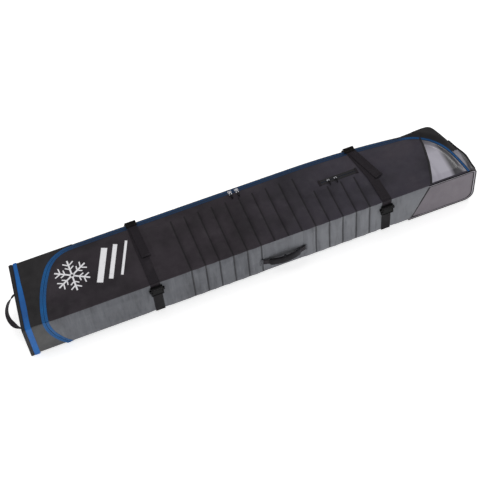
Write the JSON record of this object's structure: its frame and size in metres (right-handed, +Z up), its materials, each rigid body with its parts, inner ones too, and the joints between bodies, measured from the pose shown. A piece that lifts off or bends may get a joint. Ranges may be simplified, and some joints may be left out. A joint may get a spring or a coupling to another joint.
{
  "type": "ski bag",
  "caption": "Long padded ski bag with a zipped hinged lid, compression straps with side-release buckles, a carry handle and an end grab loop.",
  "frame": {"origin": "centre of the base's underside, on the ground, under the middle of the bag's length", "axes": "+X along the bag from the grab-loop end to the rounded end, +Y from the carry-handle side to the zip side, +Z up"},
  "size_m": [1.8882, 0.337, 0.2017],
  "materials": {
    "black_fabric": "matte coated weave",
    "grey_fabric": "matte weave with a light sheen",
    "tarpaulin": "semi-gloss coated tarpaulin",
    "base_fabric": "matte coated weave",
    "foam": "closed-cell foam",
    "board": "matte",
    "lining_fabric": "smooth lining",
    "zip_tape_blue": "woven tape",
    "zip_coil": "satin nylon",
    "black_tape": "ribbed tape",
    "piping": "satin",
    "webbing": "ribbed webbing",
    "buckle_plastic": "satin moulded",
    "grip_fabric": "matte padded",
    "slider_metal": "satin plated"
  },
  "bodies": {
    "tub": {"base_panel": "base_fabric", "base_stiffener": "board", "base_pad": "foam", "front_gusset": "grey_fabric", "front_end_patch": "grey_fabric", "front_corner_panel": "grey_fabric", "front_seam_binding": "black_tape", "back_gusset": "black_fabric", "left_end_panel": "black_fabric", "right_end_panel": "black_fabric", "left_top_panel": "black_fabric", "right_top_panel": "black_fabric", "side_pads": "foam", "end_pads": "foam", "lining": "lining_fabric", "zipper_tape_body": "zip_tape_blue", "zipper_coil_body": "zip_coil", "zipper_tape_front": "zip_tape_blue", "left_end_binding": "black_tape", "left_end_piping": "zip_tape_blue", "right_end_piping": "piping", "front_webbing": "webbing", "back_webbing": "webbing", "front_buckle_sockets": "buckle_plastic", "back_buckle_sockets": "buckle_plastic", "handle_anchors": "webbing", "end_loop_anchors": "webbing", "tie_down_straps": "webbing", "tie_down_locks": "buckle_plastic"},
    "lid": {"lid_panel": "black_fabric", "lid_end_patch": "tarpaulin", "lid_seam_binding": "black_tape", "lid_pad": "foam", "lid_lining": "lining_fabric", "zipper_tape_lid": "zip_tape_blue", "zipper_coil_lid": "zip_coil", "pocket_zipper_tape": "black_tape", "pocket_zipper_coil": "zip_coil", "pocket_pouch": "lining_fabric", "top_straps": "webbing", "strap_tails": "webbing", "strap_adjusters": "buckle_plastic", "back_buckle_plugs": "buckle_plastic"},
    "zip_slider_left": {"zip_slider_left": "slider_metal"},
    "zip_pull_left": {"zip_pull_left": "slider_metal"},
    "zip_slider_right": {"zip_slider_right": "slider_metal"},
    "zip_pull_right": {"zip_pull_right": "slider_metal"},
    "pocket_slider_left": {"pocket_slider_left": "slider_metal"},
    "pocket_pull_left": {"pocket_pull_left": "slider_metal"},
    "pocket_slider_right": {"pocket_slider_right": "slider_metal"},
    "pocket_pull_right": {"pocket_pull_right": "slider_metal"},
    "front_plug_left": {"front_buckle_plug_left": "buckle_plastic", "front_strap_end_left": "webbing"},
    "front_plug_right": {"front_buckle_plug_right": "buckle_plastic", "front_strap_end_right": "webbing"},
    "carry_handle": {"carry_handle_strap": "webbing", "carry_handle_grip": "grip_fabric", "handle_ring": "buckle_plastic"},
    "end_loop": {"end_loop": "webbing"}
  },
  "joints": [
    {"name": "lid_hinge", "type": "hinge", "parent": "tub", "child": "lid", "pos_m": [0, -0.15, 0.19], "axis": [1, 0, 0], "range_deg": [0, 110]},
    {"name": "zip_slider_left_travel", "type": "slide", "parent": "lid", "child": "zip_slider_left", "axis": [-1, 0, 0], "range_m": [0, 0.34]},
    {"name": "zip_slider_right_travel", "type": "slide", "parent": "lid", "child": "zip_slider_right", "axis": [1, 0, 0], "range_m": [0, 0.21]},
    {"name": "zip_pull_left_swing", "type": "hinge", "parent": "zip_slider_left", "child": "zip_pull_left", "pos_m": [-0.002, 0.129, 0.1952], "axis": [-1, 0, 0], "range_deg": [0, 165]},
    {"name": "zip_pull_right_swing", "type": "hinge", "parent": "zip_slider_right", "child": "zip_pull_right", "pos_m": [0.026, 0.129, 0.1952], "axis": [-1, 0, 0], "range_deg": [0, 165]},
    {"name": "pocket_slider_left_travel", "type": "slide", "parent": "lid", "child": "pocket_slider_left", "axis": [-1, 0, 0], "range_m": [0, 0.024]},
    {"name": "pocket_slider_right_travel", "type": "slide", "parent": "lid", "child": "pocket_slider_right", "axis": [1, 0, 0], "range_m": [0, 0.078]},
    {"name": "pocket_pull_left_swing", "type": "hinge", "parent": "pocket_slider_left", "child": "pocket_pull_left", "pos_m": [0.372, 0.028, 0.195], "axis": [-1, 0, 0], "range_deg": [0, 165]},
    {"name": "pocket_pull_right_swing", "type": "hinge", "parent": "pocket_slider_right", "child": "pocket_pull_right", "pos_m": [0.402, 0.028, 0.195], "axis": [-1, 0, 0], "range_deg": [0, 165]},
    {"name": "front_buckle_left_release", "type": "slide", "parent": "tub", "child": "front_plug_left", "axis": [0, 0, 1], "range_m": [0, 0.014]},
    {"name": "front_buckle_right_release", "type": "slide", "parent": "tub", "child": "front_plug_right", "axis": [0, 0, 1], "range_m": [0, 0.014]},
    {"name": "carry_handle_swing", "type": "hinge", "parent": "tub", "child": "carry_handle", "pos_m": [0.11, -0.157, 0.095], "axis": [1, 0, 0], "range_deg": [-70, 0]},
    {"name": "end_loop_swing", "type": "hinge", "parent": "tub", "child": "end_loop", "pos_m": [-0.91547, -0.00138, 0.095], "axis": [0.1042, 0.9946, 0], "range_deg": [-60, 60]}
  ]
}
